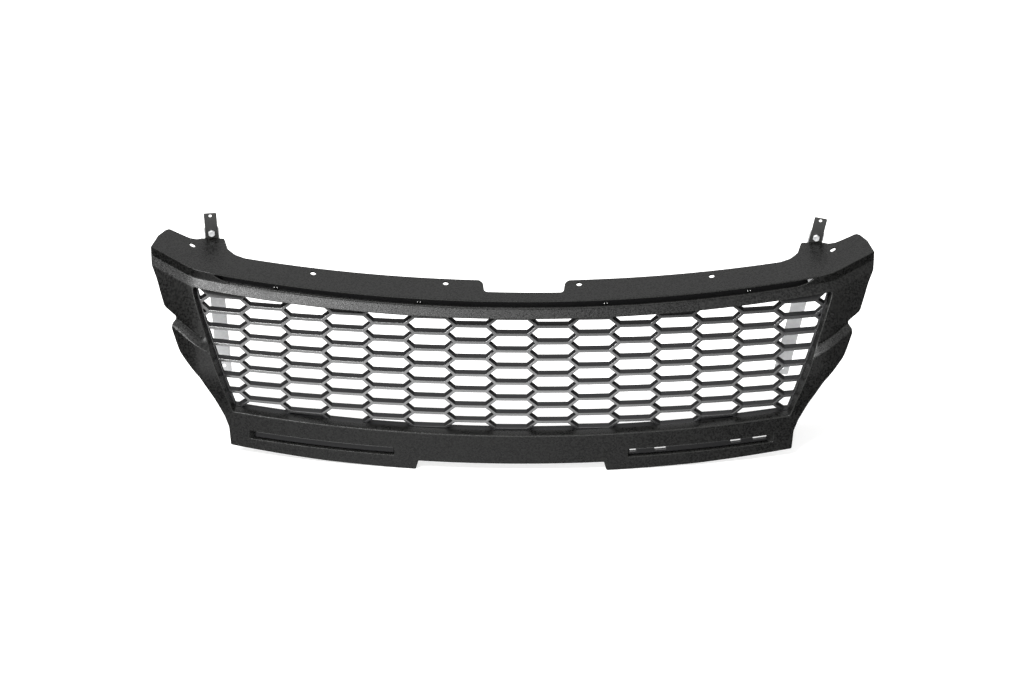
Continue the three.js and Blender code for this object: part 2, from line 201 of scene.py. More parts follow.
def grown(loop, e, least=2.2):
    # every point moves out by e along the mean of its two sides' normals: twice e times their sum over
    # its squared length, which is held up at sharp corners so that they don't shoot out
    ahead = np.roll(loop, -1, 0) - loop
    ahead /= np.linalg.norm(ahead, axis=1)[:, None]
    both = ahead + np.roll(ahead, 1, 0)
    normal = np.stack([both[:, 1], -both[:, 0]], 1)
    return loop + normal * (2 * e / np.maximum((both ** 2).sum(1), least))[:, None]


def mirrored(loop):
    # x changes sign and the order is reversed, so the loop still runs anticlockwise
    return (loop * [-1, 1])[::-1]


def clipped(loop, point, normal):
    # keeps the part of a loop on the normal's side of a line, with new corners where the line crosses it
    d = (loop - point) @ np.array(normal, float)
    after, dAfter = np.roll(loop, -1, 0), np.roll(d, -1)
    share = (d / np.where(d == dAfter, 1, d - dAfter))[:, None]
    pairs = np.stack([loop, loop + (after - loop) * share], 1)
    keep = np.stack([d >= 0, d * dAfter < 0], 1)
    return pairs[keep]


def within(points, loops, clear, batch=400):
    # true for a point when a line from it to the right crosses the loops an odd number of times
    # and, where clear is given, no side of a loop comes nearer than that
    a = np.concatenate(loops)
    b = np.concatenate([np.roll(loop, -1, 0) for loop in loops])
    ab = b - a
    kept = []
    for part in np.array_split(points, max(1, len(points) // batch)):
        px, py = part[:, :1], part[:, 1:]
        crossed = (a[:, 1] > py) != (b[:, 1] > py)
        at = a[:, 0] + (py - a[:, 1]) / np.where(ab[:, 1] == 0, 1, ab[:, 1]) * ab[:, 0]
        good = (crossed & (px < at)).sum(1) % 2 == 1
        if clear:
            along = (px - a[:, 0]) * ab[:, 0] + (py - a[:, 1]) * ab[:, 1]
            share = np.clip(along / (ab ** 2).sum(1), 0, 1)
            away = (px - a[:, 0] - share * ab[:, 0]) ** 2 + (py - a[:, 1] - share * ab[:, 1]) ** 2
            good &= away.min(1) > clear * clear
        kept.append(good)
    return np.concatenate(kept)


edgeWear = dict(face=0.55, crest=0.45, behind=0.2)     # how rubbed an edge is and how strong a painted highlight it carries, from 0 to 1


def rimSteps(radius, thickness, back=0.4, margin=1.0, turns=3):
    # the way round a sheet's edge as (distance into the sheet, depth, wear and painted highlight): a
    # quarter circle in front, most worn and most brightly painted half way round by the sine of twice the
    # turn, then the wall and a smaller chamfer behind
    a = np.linspace(0, np.pi / 2, turns + 1)
    steps = [(radius + margin, 0, 0)] if margin else []
    wear, behind = edgeWear["face"] + edgeWear["crest"] * np.sin(2 * a), edgeWear["behind"]
    steps += list(zip(radius * (1 - np.sin(a)), radius * (1 - np.cos(a)), wear))
    return steps + [(0, thickness - back, behind), (back, thickness, behind), (back + 0.5, thickness, 0)]


def rim(loop, side, steps):
    # side is 1 round a hole and -1 round an outer edge
    return [(grown(loop, side * e), depth, wear) for e, depth, wear in steps]


class Shell:
    # gathers rings of points and the faces between them into one closed mesh
    def __init__(self):
        self.points, self.wear, self.faces, self.count = [], [], [], 0

    def add(self, points, wear=0.0):
        # returns the new points' numbers
        self.points.append(points)
        self.wear.append(np.full(len(points), float(wear)))
        self.count += len(points)
        return np.arange(self.count - len(points), self.count)

    def band(self, a, b):
        # four-sided faces between two rings of equal length
        self.faces += np.stack([a, np.roll(a, -1), np.roll(b, -1), b], 1).tolist()

    def wall(self, surface, rings):
        # bands through rings of (outline, depth, wear and painted highlight) on a surface; returns the
        # first and last outlines
        ids = [self.add(surface(loop[:, 0], loop[:, 1], depth), wear) for loop, depth, wear in rings]
        for a, b in zip(ids, ids[1:]):
            self.band(a, b)
        return (rings[0][0], ids[0]), (rings[-1][0], ids[-1])

    def cap(self, surface, edges, inside=None, depth=0.0, clear=1.2):
        # fills the space between edges with triangles over the given inside points
        loops = [loop for loop, ids in edges]
        flat, ids = np.concatenate(loops), np.concatenate([ids for loop, ids in edges])
        if inside is not None:
            extra = inside[within(inside, loops, clear)]
            flat = np.concatenate([flat, extra])
            ids = np.concatenate([ids, self.add(surface(extra[:, 0], extra[:, 1], depth))])
        starts = np.cumsum([0] + [len(loop) for loop in loops])
        sides = np.concatenate([np.stack([np.arange(a, b), np.roll(np.arange(a, b), -1)], 1)
                                for a, b in zip(starts, starts[1:])])
        inside, near = 1, 1e-6         # triangles within the outlines; the gap that makes two points one
        points, _, faces, *_ = geometry.delaunay_2d_cdt(flat.tolist(), sides.tolist(), [], inside, near)
        if len(points) != len(flat):
            raise ValueError(f"an outline touches itself: {len(flat)} points became {len(points)}")
        faces = np.array(faces)
        self.faces += ids[faces[within(flat[faces].mean(1), loops, 0)]].tolist()

    def fan(self, ids, point):
        # triangles from a ring to one point
        centre = self.add(np.array([point], float))
        self.faces += np.stack([ids, np.roll(ids, -1), np.repeat(centre, len(ids))], 1).tolist()

    def tube(self, rings, closed=False):
        # rings of ready points, joined end to end; closed also joins the last to the first
        ids = [self.add(points) for points in rings]
        for a, b in zip(ids, ids[1:] + ids[:1] if closed else ids[1:]):
            self.band(a, b)
        return ids

    def finish(self, name, material, body, nodes, sharp=38):
        # moves the origin onto the deck, turns millimetres into metres and makes the piece
        points = np.concatenate(self.points)
        deckZ = beam["deckH"] + front["rise"] * (front["originY"] - beam["lipTop"][0])
        points = (points - [0, front["originY"], deckZ]) / 1000
        mesh = bpy.data.meshes.new(name)
        mesh.from_pydata(points.tolist(), [], self.faces)
        edge = mesh.attributes.new("edgeWear", "FLOAT", "POINT")
        edge.data.foreach_set("value", np.concatenate(self.wear).astype(np.float32))
        work = bmesh.new()
        work.from_mesh(mesh)
        bmesh.ops.recalc_face_normals(work, faces=work.faces)
        work.to_mesh(mesh)
        work.free()
        mesh.shade_smooth()
        mesh.set_sharp_from_angle(angle=math.radians(sharp))
        mesh.materials.append(material)
        piece = bpy.data.objects.new(name, mesh)
        bpy.context.scene.collection.objects.link(piece)
        even = piece.modifiers.new("evenShading", "WEIGHTED_NORMAL")
        even.keep_sharp = True
        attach(piece, body)
        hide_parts(*nodes)
        print(f"{name}: {len(points)} points, {len(self.faces)} faces")
        return piece


class Wire:
    # a node's output socket, so that sums and products can be written as they are on paper
    def __init__(self, tree, socket):
        self.tree, self.socket = tree, socket

    def maths(self, operation, a, b):
        # one Math node on two wires or numbers
        node = self.tree.nodes.new("ShaderNodeMath")
        node.operation = operation
        for slot, value in zip(node.inputs, (a, b)):
            if isinstance(value, Wire):
                self.tree.links.new(value.socket, slot)
            else:
                slot.default_value = value
        return Wire(self.tree, node.outputs[0])

    def __add__(self, other):
        return self.maths("ADD", self, other)

    def __radd__(self, other):
        return self.maths("ADD", other, self)

    def __sub__(self, other):
        return self.maths("SUBTRACT", self, other)

    def __rsub__(self, other):
        return self.maths("SUBTRACT", other, self)

    def __mul__(self, other):
        return self.maths("MULTIPLY", self, other)

    def __rmul__(self, other):
        return self.maths("MULTIPLY", other, self)


class Graph:
    # makes nodes in one tree; an input may be a wire or a plain value
    def __init__(self, tree):
        self.tree = tree

    def node(self, kind, settings=None, inputs=None, output=0):
        # the node's type, its settings, which are set first, and the values or wires of its inputs
        made = self.tree.nodes.new(kind)
        for key, value in (settings or {}).items():
            if key == "stops":
                ramp = made.color_ramp
                while len(ramp.elements) < len(value):
                    ramp.elements.new(0.5)
                for element, (place, level) in zip(ramp.elements, value):
                    element.position = place
                    element.color = (level, level, level, 1)
            else:
                setattr(made, key, value)
        for key, value in (inputs or {}).items():
            if isinstance(value, Wire):
                self.tree.links.new(value.socket, made.inputs[key])
            else:
                made.inputs[key].default_value = value
        return Wire(self.tree, made.outputs[output])

    def smooth(self, value, low, high):
        # 0 below low, 1 above high and an eased rise between
        return self.node("ShaderNodeMapRange", {"interpolation_type": "SMOOTHSTEP"},
                         {"Value": value, "From Min": low, "From Max": high})


class Finish(Graph):
    # one material: its fixed values, and the patterns fed into the others
    def __init__(self, name, **fixed):
        self.material = bpy.data.materials.new(name)
        self.material.use_nodes = True
        super().__init__(self.material.node_tree)
        self.shader = self.tree.nodes["Principled BSDF"]
        for socket, value in fixed.items():
            self.shader.inputs[socket.replace("_", " ")].default_value = value

    def place(self):
        # the point on the object, in metres
        return self.node("ShaderNodeTexCoord", output="Object")

    def noise(self, scale, detail=2.0, roughness=0.5, vector=None):
        return self.node("ShaderNodeTexNoise", inputs={
            "Vector": vector or self.place(), "Scale": scale, "Detail": detail, "Roughness": roughness})

    def ramp(self, value, stops):
        return self.node("ShaderNodeValToRGB", {"stops": stops}, {0: value})

    def blend(self, share, a, b):
        # colour a where share is 0 and b where it is 1
        a, b = (c if isinstance(c, Wire) else (*c, 1) for c in (a, b))
        return self.node("ShaderNodeMix", {"data_type": "RGBA"}, {0: share, 6: a, 7: b}, 2)

    def feed(self, **sockets):
        for socket, value in sockets.items():
            self.tree.links.new(value.socket, self.shader.inputs[socket.replace("_", " ")])

    def bump(self, height, strength, distance):
        return self.node("ShaderNodeBump", inputs={
            "Height": height, "Strength": strength, "Distance": distance})


grainedLook = dict(dark=(0.001, 0.001, 0.001), light=(0.0092, 0.0093, 0.0089), wornSheen=(0.03, 0.03, 0.029),
                   mottle=16, speck=300, grain=620, bump=0.25, depth=0.0003, rough=0.31)


def grainedAbs():
    # leather grain as the distance to cell borders, broken up by fine noise; a broad mottle shifts the
    # black a little, and rounded edges are rubbed lighter and smoother, the lighter colour partly wear and
    # partly a painted highlight
    look = Finish("grainedAbs", IOR=1.5, Specular_IOR_Level=0.22)
    mottle = look.noise(grainedLook["mottle"], 3, 0.55)
    speck = look.smooth(look.noise(grainedLook["speck"], 2, 0.6), 0.38, 0.62)
    cells = look.node("ShaderNodeTexVoronoi", {"feature": "DISTANCE_TO_EDGE"},
                      {"Vector": look.place(), "Scale": grainedLook["grain"]}, "Distance")
    pebbles = look.ramp(cells, [(0.0, 0.0), (0.22, 1.0)])
    wear = look.node("ShaderNodeAttribute", {"attribute_name": "edgeWear"}, output="Fac")
    # rounded edges painted lighter: partly wear, partly a painted highlight along their crests
    rubbedSheen = wear * look.ramp(look.noise(45, 4, 0.65), [(0.3, 0.25), (0.7, 1.0)])
    colour = look.blend(mottle * 0.3 + speck * 0.7, grainedLook["dark"], grainedLook["light"])
    look.feed(Base_Color=look.blend(rubbedSheen * 0.5, colour, grainedLook["wornSheen"]),
              Roughness=grainedLook["rough"] + (speck - 0.5) * 0.1 + (mottle - 0.5) * 0.1 - rubbedSheen * 0.1,
              Normal=look.bump(pebbles * 0.7 + speck * 0.3, grainedLook["bump"], grainedLook["depth"]))
    return look.material


satinLook = dict(dark=(0.006, 0.006, 0.0065), light=(0.011, 0.011, 0.012), flow=22, fine=700, bump=0.05,
                 depth=0.0001, rough=0.5, polish=0.85)


def satinAbs():
    # moulded black, polished where a hand or cloth reaches and duller elsewhere: faint flow marks stretched
    # along the width and fine texture; the rounded fronts are also painted a little lighter, a painted
    # highlight
    look = Finish("satinAbs", IOR=1.5, Specular_IOR_Level=0.26, Coat_IOR=1.95, Coat_Roughness=0.24)
    stretched = look.node("ShaderNodeMapping", inputs={"Vector": look.place(), "Scale": (0.35, 1, 1)})
    flow = look.noise(satinLook["flow"], 3, 0.55, stretched)
    fine = look.noise(satinLook["fine"], 2, 0.5)
    wear = look.node("ShaderNodeAttribute", {"attribute_name": "edgeWear"}, output="Fac")
    # base colour lighter on the rounded fronts: a painted highlight
    look.feed(Base_Color=look.blend(wear * 0.25 + flow * 0.5, satinLook["dark"], satinLook["light"]),
              Roughness=satinLook["rough"] + (flow - 0.5) * 0.1 + (fine - 0.5) * 0.06,
              Coat_Weight=wear * (satinLook["polish"] + (flow - 0.5) * 0.3),
              Normal=look.bump(fine, satinLook["bump"], satinLook["depth"]))
    return look.material


zincLook = dict(dull=(0.42, 0.425, 0.43), bright=(0.6, 0.605, 0.61), spangle=160, cloud=30, drawn=1500,
                rough=0.42, bump=0.12, depth=0.0001)


def zincSteel():
    # passivated zinc: angular spangle cells of slightly different grey, with fine drawing lines along Z
    look = Finish("zincSteel", Metallic=0.45)
    cells = look.node("ShaderNodeTexVoronoi", {}, {"Vector": look.place(), "Scale": zincLook["spangle"]},
                      "Color")
    grey = look.node("ShaderNodeSeparateColor", {}, {0: cells})
    lines = look.node("ShaderNodeMapping", inputs={"Vector": look.place(), "Scale": (1, 1, 0.03)})
    drawn = look.noise(zincLook["drawn"], 2, 0.6, lines)
    cloud = look.noise(zincLook["cloud"], 4, 0.6)
    look.feed(Base_Color=look.blend(grey * 0.35 + cloud * 0.65, zincLook["dull"], zincLook["bright"]),
              Roughness=zincLook["rough"] + (grey - 0.5) * 0.1 + (cloud - 0.5) * 0.2,
              Normal=look.bump(drawn, zincLook["bump"], zincLook["depth"]))
    return look.material


coatedLook = dict(dark=(0.008, 0.008, 0.008), light=(0.016, 0.016, 0.015), chipped=(0.06, 0.058, 0.055),
                  peel=330, cloud=40, chips=260, rough=0.4, bump=0.2, depth=0.0002)


def coatedSteel():
    # black dip coating with a faint orange-peel surface and chips along its edges
    look = Finish("coatedSteel", IOR=1.5)
    peel = look.noise(coatedLook["peel"], 3, 0.5)
    cloud = look.noise(coatedLook["cloud"], 3, 0.6)
    wear = look.node("ShaderNodeAttribute", {"attribute_name": "edgeWear"}, output="Fac")
    chips = wear * look.ramp(look.noise(coatedLook["chips"], 5, 0.7), [(0.5, 0.0), (0.58, 1.0)])
    black = look.blend(cloud, coatedLook["dark"], coatedLook["light"])
    look.feed(Base_Color=look.blend(chips, black, coatedLook["chipped"]),
              Roughness=coatedLook["rough"] + (cloud - 0.5) * 0.16 + chips * 0.15,
              Normal=look.bump(peel, coatedLook["bump"], coatedLook["depth"]))
    return look.material


grained, satin, zinc, coated = grainedAbs(), satinAbs(), zincSteel(), coatedSteel()
print("finishes ready")


surround = dict(
    wall=3, edge=0.9, openingEdge=1.6, returnDepth=18.8, returnRows=(3, 5.5, 8, 10.5, 13), draft=0.00042,
    legX=153, recessH=16, slotX=(-480, 484), slotH=(264.6, 275), slotTaper=26,
    notchX=(-45, 82), notchY=93, notchCorner=7, notchFlare=5,
    deckHoles=((107, 113), (320, 135), (515, 201)), deckHoleRadius=4.6,
    pocketX=(188, 412), pocketH=(23.5, 37.5), pocketCorner=1.5, pocketEnd=7, pocketRamp=9, pocketDepth=8,
    # the outer edge from the foot of the wing up to the ear: x, height, radius
    side=((300, 1.5, 0), (451, 6, 3), (454, 38, 20), (461, 57, 20), (477, 86, 30), (501, 122, 40),
          (534, 153, 30), (547, 182, 8), (546, 188, 3), (540, 194, 2), (541, 198, 2), (551, 200.5, 12),
          (559, 203, 14), (567, 223, 12), (572, 236, 12), (580.5, 251, 8), (581.5, 268, 8), (582, 282, 4)),
    # the deck's rear edge round the ear: x, y, radius; then the places along the deck's even back
    ear=((571, 223, 9), (559, 237, 9), (553, 240, 8), (535, 228, 16), (519, 218, 16), (508, 215.5, 6),
         (500, 217.6, 5), (464, 217.6, 4), (458, 192, 8), (446, 178, 14)),
    backX=(430, 384, 320, 256, 192, 128))


def deckPoint(x, y, r):
    # a point of the deck's plan, as width and side-line length: the riser's top plus the run back from it
    return x, deckS + (y - beam["lipTop"][0] - float(sweepAt(x))) * deckRun, r


def surroundOutline():
    # the moulding's outer edge, one half at a time; both halves meet at the notch and at the recess
    rear = beam["lipTop"][0] + beam["deckDepth"]
    leg = [(surround["legX"] - 4, surround["recessH"], 2), (surround["legX"], 0.5, 3)]
    back = [(x, rear + float(sweepAt(x)), 20) for x in surround["backX"]]

    def half(s):
        # the notch's side runs down from a small flare to a rounded floor
        edge = surround["notchX"][1 if s > 0 else 0]
        flare = surround["notchFlare"] * s
        top = rear + float(sweepAt(edge))
        notch = [(edge + flare * 1.6, top, 6), (edge + flare * 0.4, top - 7, 12),
                 (edge, surround["notchY"], surround["notchCorner"])]
        deck = [deckPoint(x * s, y, r) for x, y, r in [*surround["ear"], *back]]
        flank = [(x * s, h, r) for x, h, r in [*leg, *surround["side"]]]
        return flank + deck + [deckPoint(*p) for p in notch]

    return outline(half(1) + half(-1)[::-1])


def openingCorners(e=0.0, r=5.0):
    # the opening's four corners, let out by e; its slanted sides go out by a little more above than below
    low, high = front["openLowX"] + 0.7 * e, front["openHighX"] + 1.3 * e
    return [(-low, front["lipLow"] - e, r), (low, front["lipLow"] - e, r),
            (high, front["lipHigh"] + e, r), (-high, front["lipHigh"] + e, r)]


spacing = dict(bottom=4, nearShelf=4, overShelf=15, upperEnd=246, lowerRun=90, upperRun=60, corner=1.6,
               cornerRows=7, lips=(255, 259, 263.5, 272.5, 277), deckStart=10, deckEnd=96, face=6, inner=12,
               faceCrease=(-3, -1.6, -0.8, -0.2, 0.3, 1.2, 3.5, 6, 8.5, 9.3, 9.9, 10.4, 11, 11.6, 12.2, 13),
               innerCrease=(-0.5, 0.5, 5, 9.5, 10.5, 11.5, 12.5),
               bend=(-14, -10, -7, -4.5, -2.2, 0, 2.2, 4.5, 7, 10, 14))


def skinRows(xs, rowStep, crease):
    # rows of points over the moulding: even on the flats, close together over the shelf and the beam's
    # corners; each row is a height that is constant or follows the shelf
    shelf = shelfAt(xs)
    base = front["lipLow"]
    over, end, reach = spacing["overShelf"], spacing["upperEnd"], spacing["corner"]
    below = [np.full_like(xs, s) for s in np.arange(spacing["bottom"], base, rowStep)]
    lower = [base + t * (shelf - spacing["nearShelf"] - base)
             for t in np.linspace(0, 1, round(spacing["lowerRun"] / rowStep))]
    ledge = [shelf + d for d in crease]
    upper = [shelf + over + t * (end - shelf - over)
             for t in np.linspace(0, 1, round(spacing["upperRun"] / rowStep))]
    corners = [np.full_like(xs, s) for c in (front["lipHigh"], riserS, deckS)
               for s in c + np.linspace(-reach, reach, spacing["cornerRows"])]
    lips = [np.full_like(xs, s) for s in (*spacing["lips"], deckS + 5)]
    deck = [np.full_like(xs, s)
            for s in np.arange(deckS + spacing["deckStart"], deckS + spacing["deckEnd"], rowStep)]
    rows = below + lower + ledge + upper + corners + lips + deck
    return np.stack([np.tile(xs, len(rows)), np.concatenate(rows)], 1)


def columns(step):
    # even columns with closer ones round the wings' bends
    bend = front["wingX"] + np.array(spacing["bend"])
    flats = np.arange(-580, 580.1, step)
    clear = np.abs(np.abs(flats) - front["wingX"]) > 16
    return np.sort(np.concatenate([flats[clear], bend, -bend]))


def slotOutline():
    # the riser's air slot, whose ends taper up to a point under the deck's edge
    (x0, x1), taper = surround["slotX"], surround["slotTaper"]
    low, high = (riserS + h - beam["lipTop"][1] for h in surround["slotH"])
    return outline([(x0, high - 1.2, 0.5), (x0 + taper * 0.45, low + 3.2, 12), (x0 + taper, low, 14),
                    (x1 - taper, low, 14), (x1 - taper * 0.45, low + 3.2, 12), (x1, high - 1.2, 0.5),
                    (x1 - 3, high, 3), (x0 + 3, high, 3)])


def pocketRings(side):
    # the recess for a blanking strip: its outer end starts further out at the face, and the run beyond
    # start is squeezed evenly at the floor, so that the end slopes in
    (x0, x1), (h0, h1), ramp = surround["pocketX"], surround["pocketH"], surround["pocketRamp"]
    r, end, wall = surround["pocketCorner"], surround["pocketEnd"], surround["wall"]
    face = outline([(x0, h0, r), (x1 + ramp, h0, r), (x1 + ramp, h1, r), (x0, h1, r)])
    start = x1 - end
    floor = face.copy()
    squeezed = start + (face[:, 0] - start) * end / (end + ramp)
    floor[:, 0] = np.where(face[:, 0] > start, squeezed, face[:, 0])
    if side < 0:
        face, floor = mirrored(face), mirrored(floor)
    deep = surround["pocketDepth"]
    rounded = rim(face, 1, rimSteps(0.8, wall)[:5])
    return rounded + [(floor, deep - 1.4, 0), (floor, deep - 0.4, 0), (grown(floor, 0.4), deep, 0),
                      (grown(floor, 1.6), deep, 0), (grown(floor, 2), deep - 0.4, 0),
                      (grown(face, 2.2), wall + 0.8, 0), (grown(face, 3), wall, 0)]


def returnRings():
    # the opening's walls: in along the rows, round the back and out again one wall further away; they
    # draw inwards as they run back, x shrinking by draft times the depth past the wall
    t, back, ease = surround["wall"], surround["returnDepth"], 0.4
    rows = surround["returnRows"]
    steps = rimSteps(surround["openingEdge"], t)[:5] + [(0, d, 0) for d in rows]
    steps += [(0, back - ease, 0), (ease, back, 0), (t - ease, back, 0), (t, back - ease, 0)]
    steps += [(t, d, 0) for d in rows[:0:-1]] + [(t, t + 1.2, 0), (t + 1.2, t, 0)]
    return [(loop * [1 - surround["draft"] * max(0, depth - t), 1], depth, wear)
            for loop, depth, wear in rim(outline(openingCorners()), 1, steps)]


def buildSurround():
    # rims round every edge and hole first, then the face and the inner side filled in between them
    shell = Shell()
    t = surround["wall"]
    rims = [shell.wall(skin, rim(surroundOutline(), -1, rimSteps(surround["edge"], t, margin=0.6)))]
    rims.append(shell.wall(skin, returnRings()))
    rims.append(shell.wall(skin, rim(slotOutline(), 1, rimSteps(0.8, t))))
    for x, y in surround["deckHoles"]:
        for s in (-1, 1):
            centre = deckPoint(s * x, y, 0)
            hole = circle(*centre[:2], surround["deckHoleRadius"])
            rims.append(shell.wall(skin, rim(hole, 1, rimSteps(0.5, t))))
    for s in (-1, 1):
        rims.append(shell.wall(skin, pocketRings(s)))
    face, inner = spacing["face"], spacing["inner"]
    shell.cap(skin, [a for a, b in rims], skinRows(columns(face), face, spacing["faceCrease"]), 0.0)
    shell.cap(skin, [b for a, b in rims], skinRows(columns(inner), inner, spacing["innerCrease"]), t, 1.5)
    addBosses(shell)
    addLugs(shell)
    shell.finish("surroundMoulding", grained, "grille", ["surround"])


# Screw bosses: low, high and the two on each side give a height and where the boss starts behind the front.
fixing = dict(boss=4.6, flat=2.8, bore=2.5, blind=15, head=4.2, clear=0.3, seat=2.5, gap=20, plate=3,
              acrossX=(-380, -150, 150, 380), low=(57.5, 1.5), high=(260.5, 5.8), lowSide=(100, -2.5),
              highSide=(218, 1.5), side=8.6, blankBack=8.4, blankPlate=2, blankStart=1.5, blankOut=12)


def sideX(h):
    # half width of the opening at height h, in a straight line between its corners
    share = (h - front["lipLow"]) / (front["lipHigh"] - front["lipLow"])
    return front["openLowX"] + (front["openHighX"] - front["openLowX"]) * share


def insertSpots():
    # x, height, depth of the boss's front end behind the front
    spots = [(x, h, d) for x in fixing["acrossX"] for h, d in (fixing["low"], fixing["high"])]
    return spots + [(s * (sideX(h) + fixing["side"]), h, d)
                    for s in (-1, 1) for h, d in (fixing["lowSide"], fixing["highSide"])]


def insertBoss(x, h, d):
    # x, z and the y of the boss's two ends and of the screw's seat; the end clears the insert at the edge
    # of the boss where the insert comes nearest, and the seat clears it at the edge of the screw's head
    y = float(sweepAt(x) + rollAt(h))
    near = float(sweepAt(abs(x) - fixing["boss"]) + rollAt(h - fixing["boss"]))
    far = float(sweepAt(abs(x) + fixing["head"]) + rollAt(h + fixing["head"]))
    seat = far + fixing["gap"] + fixing["plate"] + fixing["seat"]
    return x, h + float(liftAt(x)), y + d, near + fixing["gap"] - fixing["clear"], seat


def blankBoss(side, x):
    # the same for a blanking strip, on the flat lower panel
    z = sum(surround["pocketH"]) / 2 + float(liftAt(x))
    end = float(sweepAt(x - fixing["boss"])) + fixing["blankBack"] - fixing["clear"]
    seat = float(sweepAt(x + fixing["head"])) + fixing["blankBack"] + fixing["blankPlate"]
    return side * x, z, float(sweepAt(x)) + fixing["blankStart"], end, seat


def blankSpots(side):
    # one screw beyond each end of the recess
    x0, x1 = surround["pocketX"]
    return [blankBoss(side, x0 - fixing["blankOut"]), blankBoss(side, x1 + fixing["blankOut"])]


def addBosses(shell):
    # a post round each screw, flattened on top, with a blind bore
    for x, z, y0, y1, seat in [insertBoss(*s) for s in insertSpots()] + blankSpots(-1) + blankSpots(1):
        r, bore = fixing["boss"], fixing["bore"]
        path = [(r, y0), (r, y0 + 1.6), (r, y1 - 0.5), (r - 0.5, y1), (bore + 0.4, y1), (bore, y1 - 0.4),
                (bore, max(seat - fixing["blind"], y0 + 1))]
        rings = [upright(*circle(x, z, radius).T, y) for radius, y in path]
        ids = shell.tube([np.minimum(ring, [np.inf, np.inf, z + fixing["flat"]]) for ring in rings])
        shell.fan(ids[0], (x, y0, z))
        shell.fan(ids[-1], (x, path[-1][1], z))


lug = dict(y0=214, y1=217.6, z0=268, half=16, foot=18, hole=3.4, x=482, z=285)


def addLugs(shell):
    # an upright ear under the deck on each side, which carries the stay's pivot
    top = beam["deckH"] + front["rise"] * (lug["y0"] - beam["lipTop"][0]) - 1
    for s in (-1, 1):
        corners = [(-lug["half"], lug["z0"], 5), (lug["half"], lug["z0"], 5), (lug["foot"], top, 2.5),
                   (-lug["foot"], top, 2.5)]
        edge = outline(corners) + [s * lug["x"], 0]
        hole = circle(s * lug["x"], lug["z"], lug["hole"])
        plate = lambda x, z, depth: upright(x, z, lug["y0"] + depth)
        t = lug["y1"] - lug["y0"]
        rims = [shell.wall(plate, rim(edge, -1, rimSteps(0.6, t))),
                shell.wall(plate, rim(hole, 1, rimSteps(0.4, t)))]
        shell.cap(plate, [a for a, b in rims])
        shell.cap(plate, [b for a, b in rims], None, t)


buildSurround()

# The hexagonal mesh insert: strip is the flange behind the air slot, from x to x and up to its height, and
# inset is how far the open window lies inside the opening at its foot, its head and above and below.
insert = dict(gap=fixing["gap"], plate=fixing["plate"], depth=14, frame=4, margin=18, lead=6,
              strip=(-488, 474, 271), inset=(4, 5, 1), barEdge=0.5, corner=1.2, smallest=(6, 3.5))
cell = dict(pitch=66, row=26.4, tip=41, bar=4.2, middle=12, firstArc=14, droop=4 / 396 ** 2,
            columns=8, rows=14)


def rowHeight(k):
    # rows are even along the rolled front: the height is the roll radius times the sine of its arc's angle
    arc = cell["firstArc"] + (cell["middle"] - k) * cell["row"] / 2
    return front["lipLow"] + front["rollRadius"] * math.sin(arc / front["rollRadius"])


def cellCorners(c, k):
    # a stretched hexagon whose walls stand half a bar inside the pattern's lines; the whole pattern
    # sags outwards with the square of x, and undoes the front's own lift
    x, half, tip = c * cell["pitch"], cell["bar"] / 2, cell["tip"]
    flat = cell["pitch"] - tip
    top, mid, low = rowHeight(k - 1), rowHeight(k), rowHeight(k + 1)

    def ends(z):
        # half widths of the cell at its tip and at its flat, each half a bar inside the slanted side
        q = abs(z - mid)
        tipX = tip - half * math.hypot(tip - flat, q) / q
        return tipX, tipX - (tip - flat) / q * (q - half)

    up, down = ends(top), ends(low)
    points = np.array([(x - up[0], mid), (x - down[1], low + half), (x + down[1], low + half),
                       (x + up[0], mid), (x + up[1], top - half), (x - up[1], top - half)])
    points[:, 1] -= liftAt(points[:, 0]) + cell["droop"] * points[:, 0] ** 2
    return points


def windowCorners(e=0.0):
    # the window's four corners, let out by e
    low, high, edge = insert["inset"]
    return np.array([(-front["openLowX"] + low - e, front["lipLow"] - edge - e),
                     (front["openLowX"] - low + e, front["lipLow"] - edge - e),
                     (front["openHighX"] - high + e, front["lipHigh"] + edge + e),
                     (-front["openHighX"] + high - e, front["lipHigh"] + edge + e)])


def cellLoops():
    # every cell that falls inside the window, cut off along the window's sides
    window = windowCorners()
    sides = np.roll(window, -1, 0) - window
    inward = np.stack([-sides[:, 1], sides[:, 0]], 1)
    loops = []
    for c in range(-cell["columns"], cell["columns"] + 1):
        for k in range(-2 if c % 2 == 0 else -1, cell["rows"] + 1, 2):
            loop = cellCorners(c, k)
            for point, normal in zip(window, inward):
                loop = clipped(loop, point, normal) if len(loop) > 2 else loop
            if len(loop) < 3 or (np.ptp(loop, 0) < insert["smallest"]).any():
                continue
            away = np.linalg.norm(loop - np.roll(loop, 1, 0), axis=1) > 0.3
            loop = loop[away]
            loops.append(outline([(x, y, insert["corner"]) for x, y in loop], 7, 3))
    return loops


def flangeOutline():
    # the opening let out by the margin, but stepped down on the right and carried up behind the air slot
    m, lead = insert["margin"], insert["lead"]
    x0, x1, h = insert["strip"]
    out, high = front["openHighX"] + 1.3 * m, front["lipHigh"]
    foot = openingCorners(m, lead)[:2]
    head = [(out - lead, high + lead, 6), (x1 + 2, high + lead, 3), (x1 - 1, h, 3), (x0 + 1, h, 3),
            (x0, high + m - 1, 0), (-out, high + m - 1, 6)]
    return outline(foot + head)


